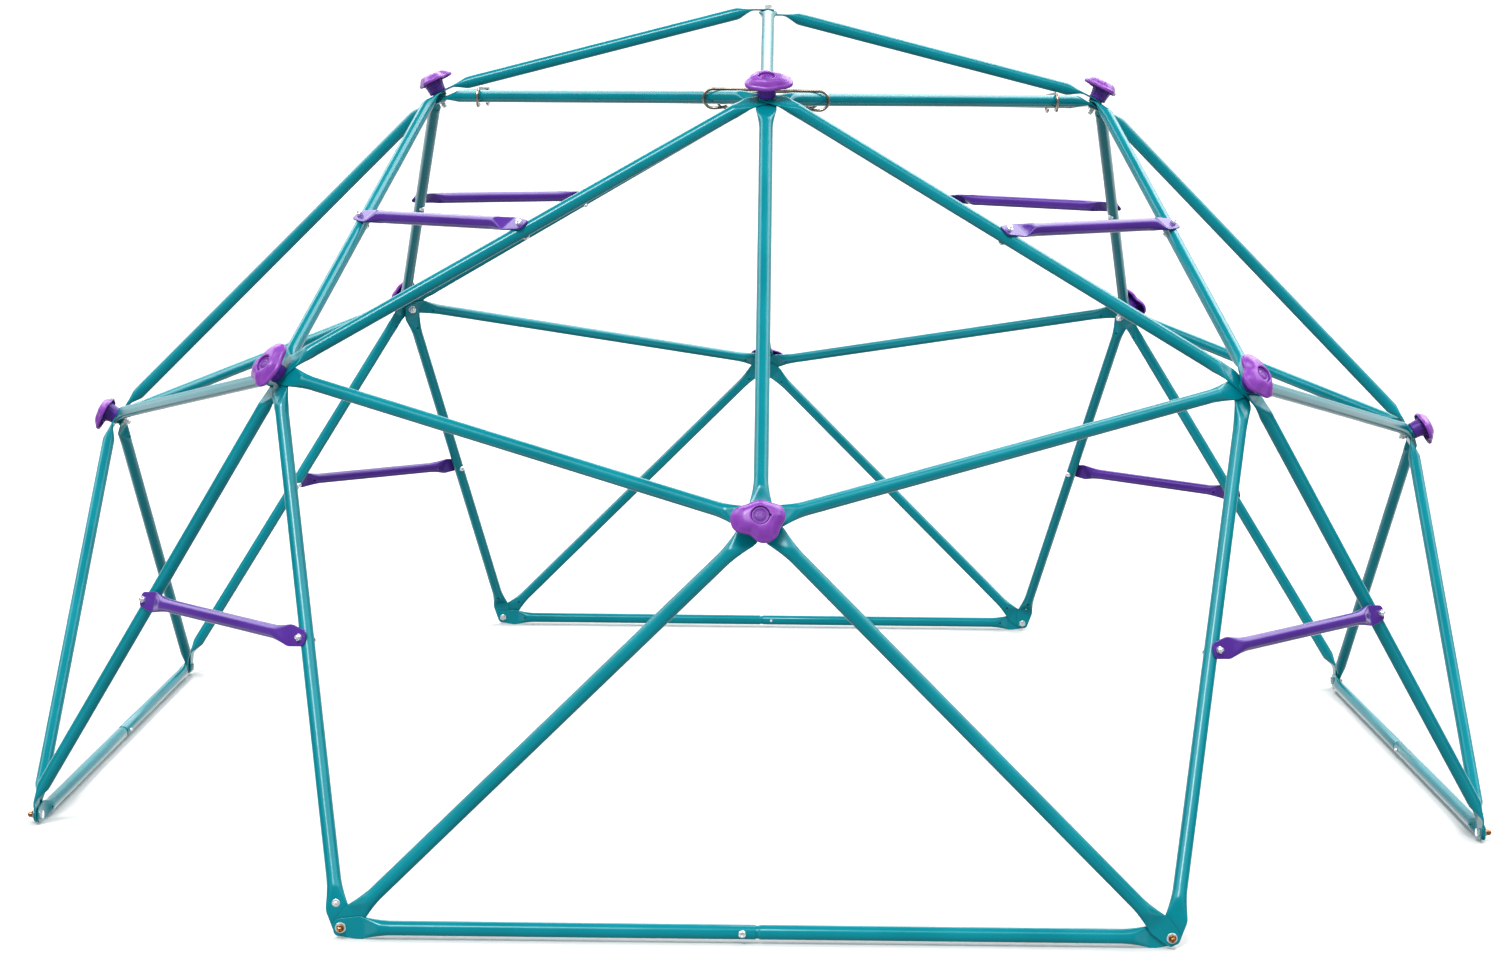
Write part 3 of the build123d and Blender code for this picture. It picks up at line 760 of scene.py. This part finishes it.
def roundRow(radius, z):
    ring = []
    for i in range(boltAround):
        angle = 2 * math.pi * i / boltAround
        ring.append(Vector((radius * math.cos(angle), radius * math.sin(angle), z)))
    return ring


def hexRow(flats, z, chamfer=0.0):    # chamfer drops the corners as a turned chamfer does
    ring = []
    for i in range(boltAround):
        angle = 2 * math.pi * i / boltAround
        turn = (angle + math.pi / 6) % (math.pi / 3) - math.pi / 6
        r = flats / 2 / math.cos(turn)
        low = z - chamfer * (r - flats / 2 * turnedFace) * 0.9
        ring.append(Vector((r * math.cos(angle), r * math.sin(angle), low)))
    return ring


def threadRings(radius, pitch, fromZ, toZ):
    # a shallow V thread, then a chamfered end
    rows, deep = [], pitch * 0.42
    count = max(2, int((toZ - fromZ) / (pitch / 5)))
    for k in range(count + 1):
        z = fromZ + (toZ - fromZ) * k / count
        ring = []
        for i in range(boltAround):
            turn = i / boltAround
            wave = abs(((z / pitch - turn) % 1.0) * 2 - 1)
            fade = smooth((toZ - z) / (pitch * 0.8))
            r = radius - deep * wave * 0.9 - (1 - fade) * deep
            ring.append(Vector((r * math.cos(turn * 2 * math.pi), r * math.sin(turn * 2 * math.pi), z)))
        rows.append(ring)
    return rows


def nutMesh(size):
    flats, tall, bore = size["flats"], size["nutTall"], size["d"] / 2
    face, lead = flats / 2 * turnedFace, 0.5 * mm
    rings = [hexRow(flats, 0, -1.0), hexRow(flats, tall, 1.0)]
    rings += [roundRow(face, tall), roundRow(bore + lead, tall), roundRow(bore, tall - lead)]
    rings += [roundRow(bore, lead), roundRow(bore + lead, 0), roundRow(face, 0)]
    return meshFromRings("nut", rings, loop=True)


def hexBoltMesh(size, long):
    # head stands on z = 0 and points up; the shank hangs below and ends in thread
    flats, tall, radius = size["flats"], size["headTall"], size["d"] / 2
    threaded = min(long * 0.6, size["threadLong"])
    rim = tall - 0.1 * mm
    rings = [roundRow(2 * mm, tall), roundRow(flats / 2 * 0.92, tall), roundRow(flats / 2 * turnedFace, rim)]
    rings += [hexRow(flats, rim, 1.0), hexRow(flats, 0), roundRow(radius, 0)]
    rings += [roundRow(radius - 0.05 * mm, -(long - threaded))]
    thread = threadRings(radius, size["pitch"], -long, -(long - threaded) - smallGap)
    tip = [[Vector((p.x, p.y, -2 * long + threaded - smallGap - p.z)) for p in ring] for ring in thread]
    end = [roundRow(radius * 0.55, -long - 0.02 * mm)]
    return meshFromRings("bolt", rings + tip + end)


def roundBoltMesh(size, long):
    # low round head with a hexagon socket; threaded towards the far end
    radius, head, tall = size["d"] / 2, size["headD"] / 2, size["headTall"]
    key, plain = size["socket"], long * size["plain"]
    rings = [hexRow(key * 2, tall * 0.45)]
    rings += [hexRow(key * 2, tall - 0.25 * mm), hexRow(key * 2 + 0.5 * mm, tall)]
    for k in range(1, 10):
        t = math.pi / 2 * k / 9
        flat = key + 0.9 * mm
        rings.append(roundRow(flat + (head - flat) * math.sin(t), tall * (0.12 + 0.88 * math.cos(t))))
    rings += [roundRow(head - 0.1 * mm, 0), roundRow(radius, 0), roundRow(radius - 0.05 * mm, -plain)]
    start = -plain - smallGap
    thread = threadRings(radius, size["pitch"], 0, long + start)
    tip = [[Vector((p.x, p.y, start - p.z)) for p in ring] for ring in thread]
    end = [roundRow(radius * 0.55, -long - 0.02 * mm)]
    return meshFromRings("bolt", rings + tip + end)


def washerMesh(outer, bore, thick):
    edge = 0.3 * mm
    rows = [(bore, 0), (outer - edge, 0), (outer, edge), (outer, thick - edge), (outer - edge, thick)]
    rows += [(bore + edge, thick), (bore, thick - edge)]
    return turnedMesh("washer", rows, 48, loop=True)


def domeNutMesh():
    flats, hexTall, radius = domeNut["flats"], domeNut["hexTall"], domeNut["radius"]
    straight = domeNut["tall"] - radius
    rings = [roundRow(bolt["d"] / 2, 0), hexRow(flats, 0), hexRow(flats, hexTall, 1.0)]
    rings += [roundRow(flats / 2 * turnedFace, hexTall), roundRow(radius + 0.2 * mm, hexTall)]
    rings += [roundRow(radius, hexTall + 0.3 * mm), roundRow(radius, straight)]
    for k in range(1, 10):
        t = math.pi / 2 * k / 10
        rings.append(roundRow(radius * math.cos(t), straight + radius * math.sin(t)))
    return meshFromRings("domeNut", rings)


def screwMesh():
    # flanged pan head on a plain shank
    head, tall, shank = footScrew["headD"] / 2, footScrew["headTall"], footScrew["shank"] / 2
    rows = [(0.9 * mm, tall - 0.7 * mm), (1.1 * mm, tall)]
    rows += [(1.9 * mm, tall), (2.5 * mm, tall - 0.3 * mm), (2.9 * mm, tall - 0.9 * mm), (3.0 * mm, 1.3 * mm)]
    rows += [(head - 0.5 * mm, 0.9 * mm), (head, 0.5 * mm), (head - 0.1 * mm, 0), (shank, 0)]
    rows += [(shank, -footScrew["long"] + 2 * mm), (0.4 * mm, -footScrew["long"])]
    return turnedMesh("screw", rows, 40)


def addHardware(label, parts, nodeName, material=zinc, slotName="zinc_steel"):
    addPiece(label, joined(label, parts), material, slotName, nodeName, sharp=25)


footSpots = []                   # bolt plane and stack of the eight feet
for turn in quarters:
    footSpots += [(footPlane(-1, turn), leftFootStack), (footPlane(1, turn), rightFootStack)]

boltParts, washerParts, nutParts = [], [], []
washerShape = washerMesh(bolt["washer"] / 2, tube["boltHole"], bolt["washerThick"])
nutShape = nutMesh(bolt)
nutEnd = bolt["washerThick"] + bolt["nutTall"] + bolt["threadOut"]    # stack to the bolt's end
for plane, stack in hubSpots:
    half = stackHalf(stack)
    long = cap["floor"] + 2 * half + nutEnd
    boltParts.append((hexBoltMesh(bolt, long), lifted(plane, half + cap["floor"])))
    behind = flipped(lifted(plane, -half))
    washerParts.append((washerShape, behind))
    nutParts.append((nutShape, lifted(behind, bolt["washerThick"])))
apexHalf = stackHalf(apexStack)
apexBolt = hexBoltMesh(bolt, 2 * apexHalf + nutEnd)
washerParts.append((washerShape, lifted(apexPlane, apexHalf)))
nutParts.append((nutShape, lifted(apexPlane, apexHalf + bolt["washerThick"])))
addHardware("hubBolts", boltParts, "hub_bolts")
addHardware("hubWashers", washerParts, "hub_washers")
addHardware("hubNuts", nutParts, "hub_nuts")
addHardware("apexBolt", [(apexBolt, flipped(lifted(apexPlane, -apexHalf)))], "apex_bolt")

footBoltParts, footWasherParts, footNutParts = [], [], []
domeShape = domeNutMesh()
for plane, stack in footSpots:
    half = stackHalf(stack)
    footLong = 2 * half + bolt["washerThick"] + domeNut["thread"]
    footBoltParts.append((hexBoltMesh(bolt, footLong), flipped(lifted(plane, -half))))
    footWasherParts.append((washerShape, lifted(plane, half)))
    footNutParts.append((domeShape, lifted(plane, half + bolt["washerThick"])))
addHardware("footBolts", footBoltParts, "foot_bolts")
addHardware("footWashers", footWasherParts, "foot_washers")
addHardware("footNuts", footNutParts, "foot_nuts", yellowZinc, "dome_nuts")

rungLong = 2 * tube["radius"] + tube["tabThick"] + smallBolt["nutTall"] + smallBolt["threadOut"]
rungBolt, rungNut = roundBoltMesh(smallBolt, rungLong), nutMesh(smallBolt)
jointScrew = roundBoltMesh(smallBolt, 2 * tube["radius"] + 3 * mm)    # its tip shows on the inner side
legBends, legAxis = bendsOf(*legs[1]), axisOf(*legs[1])
screwSpot = legBends[1] - legAxis * footScrew["past"]
screwPlane = planeAt(screwSpot, legAxis, nextFoot.col[2].xyz)
screwShape = screwMesh()
rungBoltParts, rungNutParts, jointParts, screwParts = [], [], [], []
for turn in quarters:
    for seat in upperSeats + lowerSeats:
        seatHere = turned(seat, turn)
        rungNutParts.append((rungNut, lifted(seatHere, tube["tabThick"] / 2)))
        rungBoltParts.append((rungBolt, flipped(lifted(seatHere, -seatRise - tube["radius"]))))
    jointParts.append((jointScrew, lifted(turned(jointLine, turn), tube["radius"] + 0.1 * mm)))
    screwParts.append((screwShape, lifted(turned(screwPlane, turn), footScrew["lift"])))
addHardware("rungBolts", rungBoltParts, "rung_bolts")
addHardware("rungNuts", rungNutParts, "rung_nuts")
addHardware("jointScrews", jointParts, "joint_screws")
addHardware("footScrews", screwParts, "foot_screws")
print("fasteners made")


# Each wire hanger lies across two ring bars at a ring hub and hooks round both.
wire = dict(
    radius=2.5 * mm,
    inside=84.5 * mm,            # hub's axis point to the wire, towards the centre
    loopRadius=15.8 * mm,
    loopOut=88 * mm,             # middle of the hanger to where a loop begins
    tipOut=66 * mm,              # and to the end of the wire
    tipLift=3.5 * mm,
    play=0.1 * mm,
    around=16,
    straightRings=8,
    loopRings=24,
    tipRings=12,
)


def hangerMesh():
    hub, right, left = ringHub(0), ringHub(90), ringHub(-90)
    outward = Vector((0, -1, 0))
    rests = []                   # where the wire crosses the two bars
    for own, farHub, far in (("ringLeft", left, "ringRight"), ("ringRight", right, "ringLeft")):
        nearTab, farTab = tabIn(hub, ringStack, own), tabIn(farHub, ringStack, far)
        start, along = bendsOf(nearTab, farTab)[0], axisOf(nearTab, farTab)
        rests.append(start + along * ((ringOut - wire["inside"] - start.dot(outward)) / along.dot(outward)))
    level = planeAt((rests[0] + rests[1]) / 2, rests[1] - rests[0], outward)
    over = tube["radius"] + wire["radius"] + wire["play"]
    loop = wire["loopRadius"]
    under = over - 2 * loop
    run = wire["loopOut"] - wire["tipOut"]
    hook = (run ** 2 + wire["tipLift"] ** 2) / (2 * wire["tipLift"])    # leaves the loop smoothly
    sweep = math.asin(run / hook)
    straight, turns, tips = wire["straightRings"], wire["loopRings"], wire["tipRings"]
    half = [(wire["loopOut"] * k / straight, over) for k in range(1, straight)]
    for k in range(turns + 1):
        t = math.pi * k / turns
        half.append((wire["loopOut"] + loop * math.sin(t), over - loop + loop * math.cos(t)))
    for k in range(1, tips + 1):
        t = sweep * k / tips
        half.append((wire["loopOut"] - hook * math.sin(t), under + hook * (1 - math.cos(t))))
    flat = [(-x, y) for x, y in half[::-1]] + [(0, over)] + half
    path = [level @ Vector((x, y, 0)) for x, y in flat]
    across, rings = level.col[2].xyz, []
    last = len(path) - 1
    for k, spot in enumerate(path):
        heading = (path[min(k + 1, last)] - path[max(k - 1, 0)]).normalized()
        up = heading.cross(across)
        shares = ((0.0, 1.0),)   # how far ahead and how wide; the two ends are rounded
        if k == 0:
            shares = ((-0.95, 0.3), (-0.7, 0.72), (0.0, 1.0))
        if k == last:
            shares = ((0.0, 1.0), (0.7, 0.72), (0.95, 0.3))
        for ahead, share in shares:
            ring = []
            for i in range(wire["around"]):
                angle = 2 * math.pi * i / wire["around"]
                arm = across * math.cos(angle) + up * math.sin(angle)
                ring.append(spot + heading * (ahead * wire["radius"]) + arm * (share * wire["radius"]))
            rings.append(ring)
    return meshFromRings("hanger", rings)


hangerShape = hangerMesh()
hangerParts = [(hangerShape, Matrix.Rotation(math.radians(turn), 4, "Z")) for turn in quarters]
addPiece("wireHangers", joined("wireHangers", hangerParts), wireMetal, "hanger_wire", "wire_hangers")
print("hangers made")


stage = dict(
    floorRadius=40.0,
    floorTones=("#D6D6D6", "#DADADA"),
    skyTone="#FFFFFF",
    skyTop=1.0,                  # strength of the soft light from above
    skyLevel=0.28,               # from the sides
    skyBelow=0.55,               # and back off the floor
    skyFront=0.45,               # added from the front
    frontReach=(0.1, -0.8),
    boxPower=3.6,                # the soft box overhead, as gloss mirrors it
    boxReach=(0.50, 0.60, 0.74, 0.84),
    boxTilt=0.18,
    sidePower=1.2,               # and the one on each side
    sideReach=(0.55, 0.65, 0.76, 0.86),
    backdropPower=0.8,           # the lit wall behind
    backdropReach=(0.55, 0.9),
    glossRest=0.20,              # the room's walls in gloss
    glossBelow=0.45,             # and its floor
    skySeen=1.1,                 # the backdrop as the camera sees it
    key=dict(watts=1.9, spread=18, towards=(0.28, 0.74, -1.0)),
    back=dict(watts=1.4, spread=30, towards=(-0.5, -0.5, -1.0)),
)


def whiteFloor():
    # seamless studio vinyl: matt white with the faintest mottle
    made, tree, shader = newMaterial("studioVinylWhite")
    mottle = between(tree, blotches(tree, 90 * mm, 3.0), 0.0, 1.0)
    tree.links.new(twoTone(tree, mottle, *stage["floorTones"]), shader.inputs["Base Color"])
    shader.inputs["Roughness"].default_value = 0.8
    shader.inputs["Specular IOR Level"].default_value = 0.1
    floorMesh = bmesh.new()
    bmesh.ops.create_grid(floorMesh, x_segments=8, y_segments=8, size=stage["floorRadius"])
    mesh = bpy.data.meshes.new("floor")
    floorMesh.to_mesh(mesh)
    floorMesh.free()
    mesh.materials.append(made)
    floor = bpy.data.objects.new("floor", mesh)
    bpy.context.collection.objects.link(floor)
    floor.visible_diffuse = False    # the sky's lower half stands in for its bounce, which keeps it even
    floor.visible_glossy = False


def softSun(name, watts, spread, towards):
    lamp = bpy.data.lights.new(name, "SUN")
    lamp.energy, lamp.angle = watts, math.radians(spread)
    made = bpy.data.objects.new(name, lamp)
    made.rotation_euler = Vector(towards).to_track_quat("-Z", "Y").to_euler()
    bpy.context.collection.objects.link(made)


def reckon(tree, operation, *values):
    inputs = {f"i{k}": value for k, value in enumerate(values)}
    return addNode(tree, "Math", dict(operation=operation), **inputs).outputs[0]


def band(tree, amount, low, rise, fall, high):    # 1 from rise to fall, fading to nothing at low and high
    start = between(tree, amount, 0.0, 1.0, low, rise)
    end = between(tree, amount, 1.0, 0.0, fall, high)
    return reckon(tree, "MULTIPLY", start, end)


def studioSky():
    # white all round to the eye; as light, bright overhead, dimmer towards the walls
    sky = bpy.data.worlds.new("studio")
    sky.use_nodes = True
    tree = sky.node_tree
    way = addNode(tree, "SeparateXYZ", Vector=addNode(tree, "TexCoord").outputs["Generated"])
    height = way.outputs["Z"]
    up = between(tree, height, stage["skyLevel"], stage["skyTop"], 0.0, 0.9)
    down = between(tree, height, stage["skyBelow"], stage["skyLevel"], -0.35, 0.0)
    above = reckon(tree, "GREATER_THAN", height, 0.0)
    allRound = addNode(tree, "Mix", Factor=above, i2=down, i3=up).outputs[0]
    front = between(tree, way.outputs["Y"], 0.0, stage["skyFront"], *stage["frontReach"])
    matt = reckon(tree, "ADD", allRound, front)
    tilted = reckon(tree, "MULTIPLY_ADD", way.outputs["Y"], stage["boxTilt"], height)
    overhead = band(tree, tilted, *stage["boxReach"])
    beside = band(tree, reckon(tree, "ABSOLUTE", way.outputs["X"]), *stage["sideReach"])
    backdrop = between(tree, way.outputs["Y"], 0.0, 1.0, *stage["backdropReach"])
    gloss = between(tree, height, stage["glossBelow"], stage["glossRest"], -0.15, 0.0)
    for strip, power in ((overhead, "boxPower"), (beside, "sidePower"), (backdrop, "backdropPower")):
        gloss = reckon(tree, "MULTIPLY_ADD", strip, stage[power], gloss)
    path = addNode(tree, "LightPath")
    shown = addNode(tree, "Mix", Factor=path.outputs["Is Glossy Ray"], i2=matt, i3=gloss).outputs[0]
    lit = addNode(tree, "Background", Color=colour(stage["skyTone"]), Strength=shown)
    seen = addNode(tree, "Background", Color=colour(stage["skyTone"]), Strength=stage["skySeen"])
    shots = dict(i1=lit.outputs[0], i2=seen.outputs[0])
    either = addNode(tree, "MixShader", Fac=path.outputs["Is Camera Ray"], **shots)
    tree.links.new(either.outputs[0], tree.nodes["World Output"].inputs["Surface"])
    bpy.context.scene.world = sky


whiteFloor()
studioSky()
softSun("keyLight", **stage["key"])
softSun("backLight", **stage["back"])
display = bpy.context.scene.view_settings
display.view_transform, display.look = "Standard", "Medium High Contrast"

view = dict(
    spot=(0.0122, -5.1028, 1.2257),
    yaw=0.409,                   # degrees, as the next two
    pitch=8.086,
    roll=0.609,
    lens=65.6,
    sensor=36.0,
    farEnd=200,
)
yaw, pitch, roll = (math.radians(view[k]) for k in ("yaw", "pitch", "roll"))
ahead = Vector((-math.sin(yaw) * math.cos(pitch), math.cos(yaw) * math.cos(pitch), -math.sin(pitch)))
levelRight = Vector((math.cos(yaw), math.sin(yaw), 0))
levelUp = levelRight.cross(ahead)
imageRight = levelRight * math.cos(roll) + levelUp * math.sin(roll)
imageUp = levelUp * math.cos(roll) - levelRight * math.sin(roll)
camera = bpy.data.objects.new("camera", bpy.data.cameras.new("camera"))
camera.data.lens, camera.data.sensor_width = view["lens"], view["sensor"]
camera.data.sensor_fit = "HORIZONTAL"
camera.data.clip_end = view["farEnd"]
pose = Matrix((imageRight, imageUp, -ahead)).transposed().to_4x4()
pose.translation = Vector(view["spot"])
camera.matrix_world = pose
bpy.context.collection.objects.link(camera)
bpy.context.scene.camera = camera
print("stage made")

bpy.context.view_layer.update()
